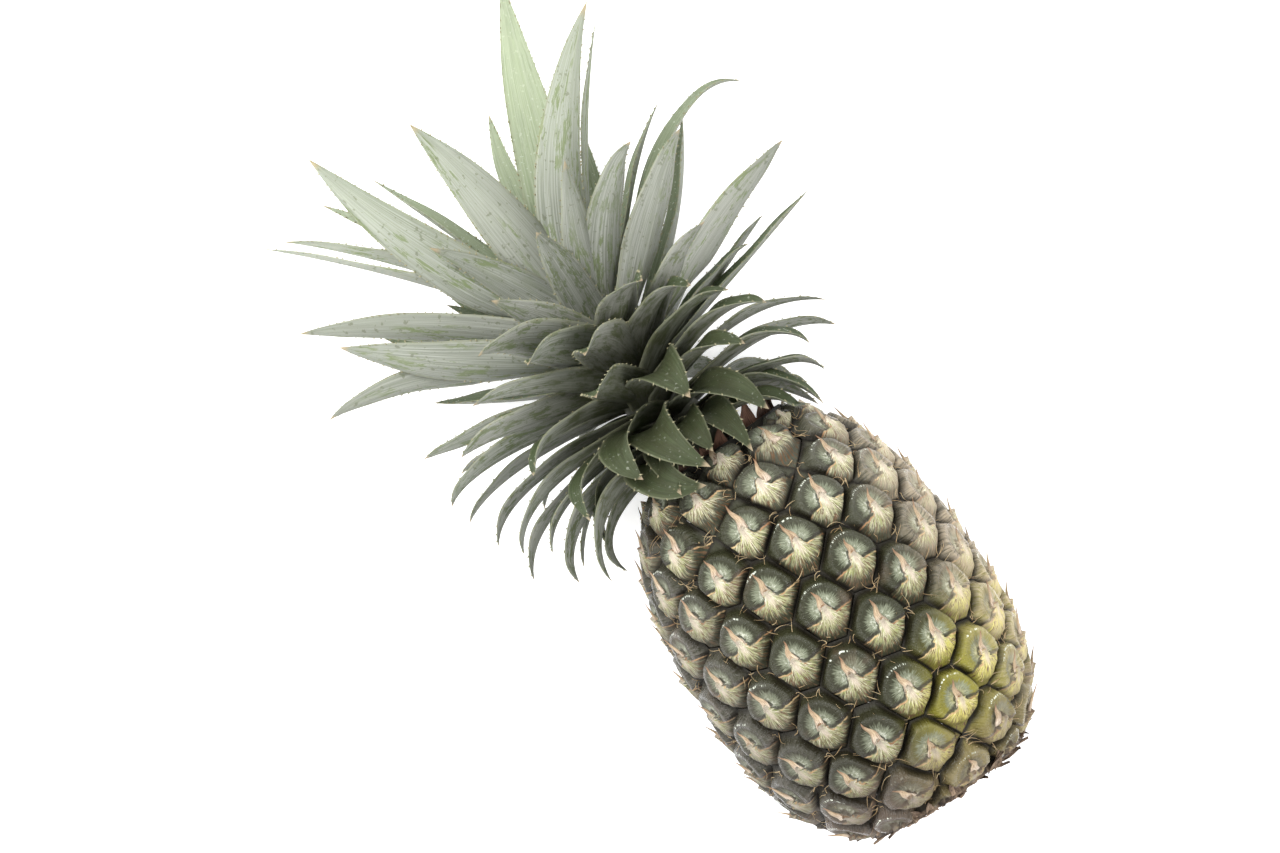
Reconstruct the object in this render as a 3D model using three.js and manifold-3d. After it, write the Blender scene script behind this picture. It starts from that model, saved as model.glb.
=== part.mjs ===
// A pineapple lying on its side: the fruit with its spiral of eyes, the leafy crown and the
// woody stalk where it was cut. Millimetres, +Z up. The fruit's axis runs along +X, from the
// cut stalk toward the crown, and the origin is on the table under the middle of the whole.

import * as THREE from 'three';
import { mergeVertices } from 'three/addons/utils/BufferGeometryUtils.js';
import Module from 'manifold-3d';

// Placement
const AXIS_HEIGHT = 59.2;        // fruit's axis above the table
const BASE_X = -176.9;           // where the fruit's base end sits along +X
const AXIS_Y = -12;              // sideways place of the fruit's axis

// Fruit
const FRUIT_LENGTH = 157.5;
const FRUIT_RADIUS = 61.6;       // over the eyes, at the widest place
const WIDEST_AT = 67;            // distance of the widest place from the base
const BASE_REACH = 76;           // half length of the rounded curve toward the base
const TOP_REACH = 98;            // half length of the rounded curve toward the crown
const CURVE_POWER = 2.5;         // 2 would be an ellipse

// Eyes
const FIRST_EYE = -5;            // the spiral's own count, from the base
const LAST_EYE = 129;
const EYE_START = 2;             // eye number 0's distance from the base
const EYE_STEP = 1.21;           // rise from one eye to the next along the axis
const EYE_TURN = 137.4;          // turn from one eye to the next, degrees
const FIRST_EYE_TURN = 323.5;
const GROOVE_DEPTH = 4.6;
const GROOVE_PIECE = 13;         // length of the straight pieces that a groove is made of
const SHORT_GROOVE = 0.035;      // corners nearer than this, in radians, become one

// Bract tips, one on each eye
const BRACT_LENGTH = 8.5;
const BRACT_RISE = 2.8;
const BRACT_HALF_WIDTH = 1.7;

// Cut stalk
const STALK_RADIUS = 13;
const STALK_PROUD = 2;
const STALK_DEPTH = 8;
const GAP = 0.3;                 // between touching pieces
const FINEST_DETAIL = 0.2;       // bodies are simplified to this

// Crown
const CROWN_SIDE = 8;            // crown's middle line, to the left (+Y) of the fruit's axis
const CROWN_LEAN = 7;            // degrees, also to the left
const CROWN_SHIFT = -2;          // foot of the stem, from the crown's middle line
const STEM_LENGTH = 62;
const STEM_BASE_RADIUS = 16;
const STEM_TOP_RADIUS = 6;
const LEAF_CHANNEL = 0.5;        // how far the leaf's edges stand up, per half width
const ROOT_THICKNESS = 1.7;
const TIP_THICKNESS = 0.8;
const LONG_LEAF_STATIONS = [0, 0.22, 0.46, 0.7, 0.88];
const LOW_LEAF_STATIONS = [0, 0.3, 0.58, 0.84];
const LOW_ROOT = 25;             // leaves rooted lower than this on the stem are low ones
const TABLE_GAP = 0.8;           // leaves over the table
const FRUIT_GAP = 5;             // leaves over the eyes

// Leaves that the eye picks out, each as height of the root on the stem, the leaf's middle
// and its tip (along the crown's middle line, to the left of it, up), width and twist.
const LEAVES = [
  [60, [113, 8, 28], [164, 18, 42], 22, 12],
  [58, [115, 38, 22], [177, 57, 25], 21, 40],
  [58, [110, 24, -6], [162, 43, -8], 15, 0],
  [58, [128, -18, -12], [198, -43, -15], 24, 50],
  [56, [115, -18, 18], [167, -64, 22], 22, -45],
  [54, [113, -27, 0], [164, -66, -2], 12, 0],
  [54, [118, -1, -30], [160, -10, -42], 12, 0],
  [54, [111, 46, 8], [162, 93, 5], 12, 0],
  [56, [116, 44, -12], [162, 86, -18], 16, 30],
  [54, [115, 36, -28], [168, 66, -40], 15, 0],
  [46, [80, 1, 30], [104, 2, 45], 16, 0],
  [50, [92, -23, 24], [113, -47, 30], 18, -30],
  [48, [96, -35, -16], [124, -68, -20], 12, 0],
  [48, [108, -62, -20], [111, -100, -25], 12, 20],
  [46, [83, -37, 12], [108, -66, 12], 19, -40],
  [50, [78, 29, -20], [106, 47, -30], 15, 0],
  [52, [95, 54, 10], [126, 99, 8], 16, 45],
  [48, [79, 53, 20], [112, 88, 22], 19, 45],
  [44, [80, 64, 10], [92, 108, 8], 15, 40],
  [42, [66, -55, 14], [82, -96, 15], 17, -40],
  [36, [50, -53, -12], [62, -97, -15], 12, 10],
  [34, [52, -39, 0], [57, -64, 0], 12, 10],
  [42, [67, 25, 46], [77, 45, 68], 24, 0],
  [38, [59, 18, 50], [64, 32, 72], 24, 0],
  [34, [53, 5, 52], [55, 13, 74], 23, 0],
  [40, [62, -10, 44], [66, -20, 62], 23, 0],
  [34, [55, -19, 40], [55, -34, 50], 20, 0],
  [30, [46, -25, 36], [46, -45, 42], 19, 0],
  [26, [39, -33, 34], [34, -54, 38], 19, 0],
  [24, [34, -43, -6], [22, -77, -10], 14, 0],
  [14, [13, -42, 8], [0, -60, 5], 14, 0],
  [18, [25, -41, 20], [12, -60, 18], 15, 0],
  [36, [50, 53, 16], [59, 86, 15], 16, 20],
  [33, [47, 46, 28], [51, 73, 32], 17, 20],
  [30, [42, 58, 8], [38, 88, 5], 16, 20],
  [28, [35, 55, -4], [29, 87, -8], 14, 10],
  [28, [37, 36, 38], [30, 54, 42], 16, 0],
  [23, [27, 55, 8], [15, 82, 5], 15, 10],
  [20, [22, 51, 18], [7, 75, 15], 15, 10],
  [16, [14, 54, -8], [-4, 79, -12], 14, 10],
  [17, [15, 45, 14], [1, 66, 10], 14, 0],
  [12, [6, 46, 10], [-14, 64, 5], 16, 20],
  [9, [3, 38, 24], [-20, 53, 20], 16, 20],
  [20, [21, 20, 50], [6, 21, 58], 18, 0],
  [14, [17, 8, 50], [-4, -2, 60], 20, 0],
  [11, [13, -4, 44], [0, -6, 52], 15, 0],
  [24, [35, -6, 52], [21, -10, 66], 22, 0],
  [16, [19, -19, 42], [1, -32, 45], 18, 0],
  [6, [5, 16, 42], [-9, 3, 50], 22, 0],
  [8, [6, -30, 22], [-7, -43, 18], 15, 0],
  [36, [66, 14, 34], [92, 30, 52], 18, 0],
  [30, [52, 30, 38], [64, 58, 50], 18, 0],
  [26, [40, 12, 54], [40, 18, 84], 19, 0],
  [22, [32, -22, 44], [26, -38, 56], 17, 0],
  [32, [58, -26, 34], [72, -52, 42], 16, -20],
  [44, [84, 16, 18], [122, 38, 40], 17, 20],
  [44, [84, -8, 22], [120, -22, 44], 17, -15],
  [12, [20, 34, 34], [4, 46, 42], 15, 0],
  [6, [-2, 38, 12], [-21, 46, 4], 14, 10],
];

// Leaves round the underside of the crown, by rule: how many, height of the first and the
// last root, how far along the axis and how far out the tips of the first and the last are
const UNDER_LEAVES = [
  { count: 10, roots: [8, 26], along: [-12, 30], out: [66, 88], width: 15 },
  { count: 8, roots: [28, 40], along: [46, 92], out: [84, 96], width: 16 },
  { count: 6, roots: [42, 52], along: [112, 156], out: [84, 62], width: 17 },
];

// Short leaves round the neck that bend back over the fruit's shoulder
const NECK_LEAVES = { count: 8, root: 5, middle: [9, 36], tip: [-8, 53], width: 17 };

const wasm = await Module();
wasm.setup();

const degrees = Math.PI / 180;
const table = -AXIS_HEIGHT;

// Seeded draws, the same on every run
function draws(seed) {
  let state = seed;
  return (low, high) => {
    state = (state * 1664525 + 1013904223) % 4294967296;
    return low + ((high - low) * state) / 4294967296;
  };
}

// Vectors
const add = (a, b) => a.map((v, i) => v + b[i]);
const scaled = (a, s) => a.map((v) => v * s);
const dot = (a, b) => a[0] * b[0] + a[1] * b[1] + a[2] * b[2];
const unit = (a) => scaled(a, 1 / Math.hypot(...a));
const cross = (a, b) => [
  a[1] * b[2] - a[2] * b[1],
  a[2] * b[0] - a[0] * b[2],
  a[0] * b[1] - a[1] * b[0],
];

// A closed body from points and triangles
function solid(points, triangles) {
  let geometry = new THREE.BufferGeometry();
  geometry.setAttribute('position', new THREE.Float32BufferAttribute(points.flat(), 3));
  geometry.setIndex(triangles.flat());
  geometry = mergeVertices(geometry, 1e-4);
  const index = geometry.index.array;
  const kept = [];
  for (let i = 0; i < index.length; i += 3) {
    const [a, b, c] = [index[i], index[i + 1], index[i + 2]];
    if (a !== b && b !== c && a !== c) kept.push(a, b, c);
  }
  return new wasm.Manifold(new wasm.Mesh({
    numProp: 3,
    vertProperties: new Float32Array(geometry.attributes.position.array),
    triVerts: new Uint32Array(kept),
  }));
}

// The largest shell alone: sealed hollows are filled and loose scraps dropped
function oneBody(body) {
  const shells = body.simplify(FINEST_DETAIL).decompose();
  return shells.reduce((best, shell) => (shell.volume() > best.volume() ? shell : best));
}

function geometryOf(body) {
  const mesh = body.getMesh();
  const geometry = new THREE.BufferGeometry();
  geometry.setAttribute('position', new THREE.BufferAttribute(mesh.vertProperties, 3));
  geometry.setIndex(new THREE.BufferAttribute(mesh.triVerts, 1));
  const flat = geometry.toNonIndexed();
  flat.computeVertexNormals();
  return flat;
}

// Rings of equal count joined into a body with flat ends, or with a point at the far end.
// Neighbouring strips slant opposite ways, so a blade's two faces are split alike.
function loft(rings, point) {
  const n = rings[0].length;
  const points = rings.flat();
  const triangles = [];
  for (let r = 0; r + 1 < rings.length; r++) {
    for (let i = 0; i < n; i++) {
      const a = r * n + i;
      const b = r * n + ((i + 1) % n);
      if (i % 2) triangles.push([a, b, a + n], [b, b + n, a + n]);
      else triangles.push([a, b, b + n], [a, b + n, a + n]);
    }
  }
  for (let i = 1; i + 1 < n; i++) triangles.push([0, i + 1, i]);
  const last = (rings.length - 1) * n;
  if (point) {
    points.push(point);
    for (let i = 0; i < n; i++) triangles.push([last + i, last + ((i + 1) % n), points.length - 1]);
  } else {
    for (let i = 1; i + 1 < n; i++) triangles.push([last, last + i, last + i + 1]);
  }
  const body = solid(points, triangles);
  return body.volume() < 0 ? solid(points, triangles.map(([a, b, c]) => [a, c, b])) : body;
}

// Outline of the fruit: radius over the eyes at a distance from the base
function radiusAt(x) {
  const reach = x < WIDEST_AT ? BASE_REACH : TOP_REACH;
  const d = Math.min(1, Math.abs(x - WIDEST_AT) / reach);
  return FRUIT_RADIUS * (1 - d ** CURVE_POWER) ** (1 / CURVE_POWER);
}

function slopeAt(x) {
  return (radiusAt(x + 0.05) - radiusAt(x - 0.05)) / 0.1;
}

// The skin unrolled so that shapes keep their form: turn round the axis, and travel along
// the skin measured in radii
const TRAVEL_STEP = 0.5;
const travelTable = [0];
for (let x = 0; x < FRUIT_LENGTH; x += TRAVEL_STEP) {
  const middle = x + TRAVEL_STEP / 2;
  const length = Math.hypot(1, slopeAt(middle)) * TRAVEL_STEP;
  travelTable.push(travelTable.at(-1) + length / radiusAt(middle));
}
const TRAVEL_END = travelTable.at(-1);

function travelAt(x) {
  const place = x / TRAVEL_STEP;
  const i = Math.min(travelTable.length - 2, Math.max(0, Math.floor(place)));
  return travelTable[i] + (place - i) * (travelTable[i + 1] - travelTable[i]);
}

function distanceAt(travel) {
  let i = travelTable.findIndex((value) => value > travel) - 1;
  if (i < 0) i = travel <= 0 ? 0 : travelTable.length - 2;
  const part = (travel - travelTable[i]) / (travelTable[i + 1] - travelTable[i]);
  return (i + part) * TRAVEL_STEP;
}

// A point of the skin, raised by some height along its normal
function skinPoint(turn, travel, height) {
  const onRim = travel <= 1e-9 || travel >= TRAVEL_END - 1e-9;
  const x = distanceAt(travel);
  const slope = onRim ? 0 : slopeAt(x);
  const length = Math.hypot(1, slope);
  const radius = radiusAt(x) + height / length;
  return [x - (height * slope) / length, -Math.sin(turn) * radius, Math.cos(turn) * radius];
}

// Part of a polygon on the near side of the line halfway between two sites
function clip(polygon, nx, ny, limit) {
  const kept = [];
  polygon.forEach((a, i) => {
    const b = polygon[(i + 1) % polygon.length];
    const da = a[0] * nx + a[1] * ny - limit;
    const db = b[0] * nx + b[1] * ny - limit;
    if (da <= 0) kept.push(a);
    if (da * db < 0) {
      const part = da / (da - db);
      kept.push([a[0] + part * (b[0] - a[0]), a[1] + part * (b[1] - a[1])]);
    }
  });
  return kept;
}

// The same turn, between minus half a lap and half a lap
function withinLap(turn) {
  return turn - 2 * Math.PI * Math.round(turn / (2 * Math.PI));
}

// Every eye's place and the outline of its cell, as numbers of shared corners
function eyeCells() {
  const sites = [];
  for (let k = FIRST_EYE - 22; k <= LAST_EYE + 22; k++) {
    const turn = (EYE_TURN * k + FIRST_EYE_TURN) * degrees;
    sites.push({ turn: withinLap(turn), travel: travelAt(EYE_START + k * EYE_STEP) });
  }
  const corners = [];
  const cornerNumber = ([turn, travel]) => {
    const found = corners.findIndex((c) => {
      const onRims = (v) => v <= 1e-9 || v >= TRAVEL_END - 1e-9;
      const apart = Math.hypot(withinLap(turn - c[0]), travel - c[1]);
      return onRims(travel) === onRims(c[1]) && apart < SHORT_GROOVE;
    });
    if (found >= 0) return found;
    corners.push([turn, travel]);
    return corners.length - 1;
  };
  const cells = [];
  for (const site of sites) {
    let outline = [
      [site.turn - 1, 0],
      [site.turn + 1, 0],
      [site.turn + 1, TRAVEL_END],
      [site.turn - 1, TRAVEL_END],
    ];
    for (const other of sites) {
      if (other === site) continue;
      for (const lap of [-2 * Math.PI, 0, 2 * Math.PI]) {
        const nx = other.turn + lap - site.turn;
        const ny = other.travel - site.travel;
        if (Math.hypot(nx, ny) > 1.4) continue;
        const mx = (other.turn + lap + site.turn) / 2;
        const my = (other.travel + site.travel) / 2;
        outline = clip(outline, nx, ny, nx * mx + ny * my);
      }
    }
    if (outline.length < 3) continue;
    const numbers = outline
      .map(cornerNumber)
      .filter((c, i, all) => c !== all[(i + 1) % all.length]);
    if (new Set(numbers).size > 2) cells.push({ site, numbers });
  }
  return { cells, corners };
}

// Relief of one eye: rim of the groove at 1, middle of the eye at 0. The upper half is a
// hollow with a raised edge and the lower half is the swollen foot of the bract.
const EYE_RINGS = [0.8, 0.42];
function eyeHeight(part, up) {
  if (part > 0.9) return -GROOVE_DEPTH;
  if (part > 0.6) return up > 0 ? -0.9 : -1.7;
  return up > 0 ? -1.7 : -0.6;
}

function fruitBody() {
  const { cells, corners } = eyeCells();
  const points = [];
  const triangles = [];
  const rims = [new Map(), new Map()];
  const shared = new Map();
  const skin = (turn, travel, height) => points.push(skinPoint(turn, travel, height)) - 1;
  const edgePoints = (a, b) => {
    const [low, high] = a < b ? [a, b] : [b, a];
    const key = `${low},${high}`;
    if (!shared.has(key)) {
      const [t0, w0] = corners[low];
      const [, w1] = corners[high];
      const t1 = t0 + withinLap(corners[high][0] - t0);
      const length = Math.hypot(t1 - t0, w1 - w0) * radiusAt(distanceAt((w0 + w1) / 2));
      const count = Math.max(1, Math.round(length / GROOVE_PIECE));
      shared.set(key, Array.from({ length: count + 1 }, (_, i) => [
        t0 + ((t1 - t0) * i) / count,
        w0 + ((w1 - w0) * i) / count,
      ]));
    }
    const run = shared.get(key);
    return a < b ? run.slice(0, -1) : run.slice(1).reverse();
  };
  for (const { site, numbers } of cells) {
    const outline = numbers.flatMap((c, i) => edgePoints(c, numbers[(i + 1) % numbers.length]));
    const offsets = outline.map(([turn, travel]) => [
      withinLap(turn - site.turn),
      travel - site.travel,
    ]);
    const middle = scaled(offsets.reduce(add), 1 / offsets.length);
    const ring = (part) => offsets.map(([dt, dw]) => {
      const turn = site.turn + middle[0] + (dt - middle[0]) * part;
      const travel = site.travel + middle[1] + (dw - middle[1]) * part;
      const onRim = part === 1 && (travel < 1e-6 || travel > TRAVEL_END - 1e-6);
      return skin(turn, travel, onRim ? -1 : eyeHeight(part, dw));
    });
    let outer = ring(1);
    offsets.forEach(([dt, dw], i) => {
      const travel = site.travel + dw;
      if (travel < 1e-6) rims[0].set(Math.round((site.turn + dt) * 1e4), outer[i]);
      if (travel > TRAVEL_END - 1e-6) rims[1].set(Math.round((site.turn + dt) * 1e4), outer[i]);
    });
    for (const part of EYE_RINGS) {
      const inner = ring(part);
      for (let i = 0; i < outer.length; i++) {
        const j = (i + 1) % outer.length;
        triangles.push([outer[i], outer[j], inner[j]], [outer[i], inner[j], inner[i]]);
      }
      outer = inner;
    }
    const centre = skin(site.turn + middle[0], site.travel + middle[1], 0);
    outer.forEach((a, i) => triangles.push([a, outer[(i + 1) % outer.length], centre]));
  }
  rims.forEach((rim, end) => {
    const round = [...rim.values()].sort((a, b) => turnOf(points[a]) - turnOf(points[b]));
    const seen = round.filter((a, i) => (
      i === 0 || turnOf(points[a]) - turnOf(points[round[i - 1]]) > 1e-4
    ));
    const centre = points.push([end * FRUIT_LENGTH, 0, 0]) - 1;
    seen.forEach((a, i) => {
      const b = seen[(i + 1) % seen.length];
      triangles.push(end ? [a, b, centre] : [b, a, centre]);
    });
  });
  return { body: solid(points, triangles), cells };
}

function turnOf([, y, z]) {
  return Math.atan2(-y, z);
}

// The dry tip of the bract that stands in the middle of each eye
function bractTip(site, draw) {
  const scale = 1 / radiusAt(distanceAt(site.travel));
  const length = BRACT_LENGTH * draw(0.8, 1.15);
  const sway = draw(-2, 2);
  const along = [-1.5, length * 0.45, length];
  const heights = [-2, BRACT_RISE * 0.35, BRACT_RISE * draw(0.7, 1.3)];
  const at = (i, side, lift) => skinPoint(
    site.turn + (sway * (i / 2) ** 2 + side) * scale,
    Math.min(TRAVEL_END - 1e-6, Math.max(1e-6, site.travel + along[i] * scale)),
    heights[i] + lift,
  );
  const ring = (i, half) => [at(i, -half, 0), at(i, half, 0), at(i, 0, half)];
  return loft([ring(0, BRACT_HALF_WIDTH), ring(1, BRACT_HALF_WIDTH * 0.7)], at(2, 0, 0));
}

function underTable() {
  return solidBox([-60, -120, table - 60], [FRUIT_LENGTH + 60, 120, table]);
}

function solidBox(low, high) {
  const box = new THREE.BoxGeometry(high[0] - low[0], high[1] - low[1], high[2] - low[2]);
  box.translate((low[0] + high[0]) / 2, (low[1] + high[1]) / 2, (low[2] + high[2]) / 2);
  const points = Array.from({ length: box.attributes.position.count }, (_, i) => [
    box.attributes.position.getX(i),
    box.attributes.position.getY(i),
    box.attributes.position.getZ(i),
  ]);
  const index = Array.from(box.index.array);
  const triangles = [];
  for (let i = 0; i < index.length; i += 3) triangles.push(index.slice(i, i + 3));
  return solid(points, triangles);
}

function roundBar(x0, x1, radius, sides) {
  const ring = (x) => Array.from({ length: sides }, (_, i) => {
    const turn = (2 * Math.PI * i) / sides;
    return [x, radius * Math.cos(turn), radius * Math.sin(turn)];
  });
  return loft([ring(x0), ring(x1)]);
}

function fruit() {
  const draw = draws(7);
  const { body, cells } = fruitBody();
  const tips = cells
    .filter(({ site }) => site.travel > 0.12 && site.travel < TRAVEL_END - 0.1)
    .map(({ site }) => bractTip(site, draw));
  return oneBody(wasm.Manifold.union([body, ...tips])
    .subtract(underTable())
    .subtract(roundBar(-20, STALK_DEPTH, STALK_RADIUS + GAP, 24)));
}

function stalk() {
  return roundBar(-STALK_PROUD, STALK_DEPTH - GAP, STALK_RADIUS, 24);
}

// Up the stem, in a frame at the fruit's top: x along its axis, y to the left, z up
const STEM = [Math.cos(CROWN_LEAN * degrees), Math.sin(CROWN_LEAN * degrees), 0];

function stemPoint(height) {
  return add([0, CROWN_SIDE + CROWN_SHIFT, 0], scaled(STEM, height));
}

// A leaf's middle line, its sideways direction, its inner face's direction and half width
function leafAt([height, middle, tip, width, twist], t) {
  const root = stemPoint(height);
  const control = add(scaled(middle, 2), scaled(add(root, tip), -0.5));
  const towardControl = scaled(control, 2 * t * (1 - t));
  const point = add(add(scaled(root, (1 - t) ** 2), towardControl), scaled(tip, t * t));
  const along = unit(add(
    scaled(add(control, scaled(root, -1)), 1 - t),
    scaled(add(tip, scaled(control, -1)), t),
  ));
  let out = add(scaled(add(middle, tip), 0.5), scaled(root, -1));
  out = unit(add(out, scaled(STEM, -dot(out, STEM))));
  const inner = unit(cross(along, cross(STEM, out)));
  const side = cross(inner, along);
  const turn = twist * degrees * Math.min(1, t / 0.4);
  const taper = Math.min(1, Math.max(0, (t - 0.35) / 0.65));
  const half = (width / 2) * (1 - taper ** 2) * Math.min(1, 0.8 + t / 0.75);
  return {
    point,
    half,
    side: add(scaled(side, Math.cos(turn)), scaled(inner, Math.sin(turn))),
    inner: add(scaled(inner, Math.cos(turn)), scaled(side, -Math.sin(turn))),
  };
}

// Bends what would reach the table or the fruit clear of them
function clear(point) {
  let [x, y, z] = point;
  const fromBase = x + FRUIT_LENGTH;
  if (fromBase < FRUIT_LENGTH) {
    const least = radiusAt(fromBase) + FRUIT_GAP;
    const radius = Math.hypot(y, z);
    if (radius < least) [y, z] = [(y * least) / radius, (z * least) / radius];
  }
  return [x, y, Math.max(z, table + TABLE_GAP)];
}

function leafBody(leaf) {
  const stations = leaf[0] < LOW_ROOT ? LOW_LEAF_STATIONS : LONG_LEAF_STATIONS;
  const rings = stations.map((t) => {
    const { point, half, side, inner } = leafAt(leaf, t);
    const thickness = ROOT_THICKNESS + (TIP_THICKNESS - ROOT_THICKNESS) * t;
    const edge = scaled(inner, half * LEAF_CHANNEL);
    return [
      point,
      add(add(point, scaled(side, half)), edge),
      add(point, scaled(inner, thickness)),
      add(add(point, scaled(side, -half)), edge),
    ].map((corner) => (t > 0.1 ? clear(corner) : corner));
  });
  return loft(rings, clear(leafAt(leaf, 1).point));
}

// Leaves of the underside, spread from one side round to the other
function underLeaves() {
  const draw = draws(11);
  const between = ([a, b], part) => a + (b - a) * part;
  return UNDER_LEAVES.flatMap(({ count, roots, along, out, width }) =>
    Array.from({ length: count }, (_, i) => {
      const part = (i * 0.618 + draw(0, 0.1)) % 1;
      const turn = (100 + (160 * (i + draw(0.3, 0.7))) / count) * degrees;
      const height = between(roots, part);
      const reach = between(out, part) * draw(0.92, 1.05);
      const rise = between(along, part);
      const radial = [0, Math.sin(turn), Math.cos(turn)];
      const root = stemPoint(height);
      const tip = add(root, scaled(radial, reach));
      const middle = add(root, scaled(radial, reach * 0.6));
      tip[0] = rise;
      middle[0] = height + (rise - height) * 0.35 + 8;
      const limit = table + 1.5 + (width / 2) * Math.abs(radial[1]);
      tip[2] = Math.max(tip[2], limit);
      middle[2] = Math.max(middle[2], limit + 2);
      return [height, middle, tip, width, draw(-12, 12)];
    }),
  );
}

// Leaves round the neck, spread all the way round
function neckLeaves() {
  const draw = draws(23);
  const { count, root, middle, tip, width } = NECK_LEAVES;
  return Array.from({ length: count }, (_, i) => {
    const turn = ((360 * (i + draw(0.2, 0.8))) / count) * degrees;
    const height = root + draw(-2, 3);
    const radial = [0, Math.sin(turn), Math.cos(turn)];
    const place = ([along, out]) => {
      const point = [along + draw(-3, 3), CROWN_SIDE + CROWN_SHIFT, 0];
      const reach = scaled(radial, out * draw(0.95, 1.05));
      const lowest = table + 1.5 + (width / 2) * Math.abs(radial[1]);
      return [point[0], point[1] + reach[1], Math.max(reach[2], lowest)];
    };
    return [height, place(middle), place(tip), width, draw(-10, 10)];
  });
}

// The leaves of the table, set beside the fruit's axis
function shownLeaves() {
  const aside = (point) => add(point, [0, CROWN_SIDE, 0]);
  return LEAVES.map(([height, middle, tip, width, twist]) => (
    [height, aside(middle), aside(tip), width, twist]
  ));
}

function crown() {
  const ring = (height, radius) => {
    const centre = stemPoint(height);
    const up = height === 0 ? [1, 0, 0] : STEM;
    const left = unit(cross([0, 0, 1], up));
    return Array.from({ length: 10 }, (_, i) => {
      const turn = (2 * Math.PI * i) / 10;
      return add(centre, add(scaled(left, radius * Math.cos(turn)), [0, 0, radius * Math.sin(turn)]));
    });
  };
  const stem = loft([ring(0, STEM_BASE_RADIUS), ring(STEM_LENGTH, STEM_TOP_RADIUS)]);
  const leaves = [...shownLeaves(), ...underLeaves(), ...neckLeaves()].map(leafBody);
  const neck = solidBox([-3, -40, -40], [0, 40, 40]);
  return oneBody(wasm.Manifold.union([stem, ...leaves]).subtract(neck));
}

function part(name, geometry, color, roughness) {
  const material = new THREE.MeshStandardMaterial({ color, roughness, metalness: 0 });
  const mesh = new THREE.Mesh(geometry, material);
  mesh.name = name;
  return mesh;
}

const pineapple = new THREE.Group();
pineapple.position.set(BASE_X, AXIS_Y, AXIS_HEIGHT);

pineapple.add(part('fruit', geometryOf(fruit()), 0x4f5a3c, 0.6));
pineapple.add(part('cut_stalk', geometryOf(stalk()), 0xa98f66, 0.9));

const head = part('crown', geometryOf(crown()), 0x8f9d84, 0.55);
head.position.set(FRUIT_LENGTH + GAP, 0, 0);
pineapple.add(head);

export default pineapple;
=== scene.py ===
import math
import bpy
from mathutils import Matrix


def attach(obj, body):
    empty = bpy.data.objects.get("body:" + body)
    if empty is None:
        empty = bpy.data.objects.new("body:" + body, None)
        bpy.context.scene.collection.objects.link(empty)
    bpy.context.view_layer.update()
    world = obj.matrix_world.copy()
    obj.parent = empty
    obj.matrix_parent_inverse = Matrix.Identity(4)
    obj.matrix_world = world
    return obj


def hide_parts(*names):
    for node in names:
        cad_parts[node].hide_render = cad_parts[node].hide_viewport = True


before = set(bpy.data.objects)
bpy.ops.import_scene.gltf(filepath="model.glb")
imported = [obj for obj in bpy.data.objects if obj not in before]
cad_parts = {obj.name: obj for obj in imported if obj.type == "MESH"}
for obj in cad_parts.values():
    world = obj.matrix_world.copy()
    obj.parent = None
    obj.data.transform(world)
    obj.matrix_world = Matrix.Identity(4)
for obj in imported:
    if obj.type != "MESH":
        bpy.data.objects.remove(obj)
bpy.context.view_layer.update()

from types import SimpleNamespace

import bmesh
import bpy
import numpy as np

MM = 0.001
LAP = 2 * math.pi

# Placement, in millimetres as in the part itself
AXIS_HEIGHT = 59.2
BASE_X = -176.9
AXIS_Y = -12.0
TABLE = -AXIS_HEIGHT  # as seen from the axis

# Camera, from the fruit's axis and base end
CAMERA_ALONG = 180.6
CAMERA_SIDE = 19.0
CAMERA_ABOVE = 1140.0
CAMERA_TURN = -124.5  # about the upright, degrees
CAMERA_LENS = 83.2
SENSOR_WIDTH = 36.0

# Studio, in metres: each soft light's name, place, width and power
LIGHTS = [
    ("soft_key", (0.5, 0.1, 1.3), 0.4, 15),
    ("soft_fill", (-0.9, -0.5, 1.1), 1.4, 14),
    ("soft_side", (0.5, 0.9, 1.0), 1.2, 12),
]
SKY_STRENGTH = 1.15
FLOOR_WIDTH = 6.0
FLOOR_BELOW = 0.0002  # under the part, so that the two never share a face
FLOOR_GLOW = 0.35

# Fruit
FRUIT_LENGTH = 157.5
FRUIT_RADIUS = 61.6
WIDEST_AT = 67.0
BASE_REACH = 76.0
TOP_REACH = 98.0
CURVE_POWER = 2.5

# Eyes
FIRST_EYE = -5
LAST_EYE = 129
EYE_START = 2.0
EYE_STEP = 1.21
EYE_TURN = 137.4
FIRST_EYE_TURN = 323.5
SPARE_EYES = 22  # beyond either end, to shape the cells there
NEIGHBOUR_REACH = 1.4  # eyes farther apart than this, in radians, never meet
GROOVE_DEPTH = 4.6
GROOVE_PIECE = 1.5  # length of the straight pieces that a groove is made of
SHORT_GROOVE = 0.035  # corners nearer than this, in radians, become one
EYE_RINGS = [1, 0.97, 0.93, 0.88, 0.83, 0.78, 0.72, 0.65, 0.57, 0.48, 0.38, 0.27, 0.15, 0.06]
RIM_DEPTH = 1.0  # of the skin where it meets the fruit's two ends
BASE_HOLLOW = 1.5  # how far in the base's middle lies
WELD_DISTANCE = 0.02  # points nearer than this become one

# Relief of one eye
HOLLOW_DEPTH = 1.5
CREASE_DEPTH = 0.35
SEPAL_DEPTH = 0.25
BRACT_TOP = 0.5
BRACT_FALL = 2.6
RAY_HEIGHT = 0.28
LIP_HEIGHT = 0.45
HUB_HEIGHT = 0.9

# Middles of the rind's yellow patch and of the crown's heart, round which shade is painted on the
# leaves, in the part's metres
RIPE_PLACE = (-0.166, -0.056, 0.083)
CROWN_HEART = (0.004, -0.004, 0.092)

# Cut stalk
STALK_RADIUS = 13.0

# Thin curled end of each eye's bract
TIP_LENGTH = 8.5
TIP_RISE = 2.8
TIP_HALF_WIDTH = 2.1
TIP_ROOT = 1.5  # how far back its root starts
TIP_SUNK = 0.8  # how deep its root lies in the skin
TIP_STATIONS = 8
TIP_SIDES = 6

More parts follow.
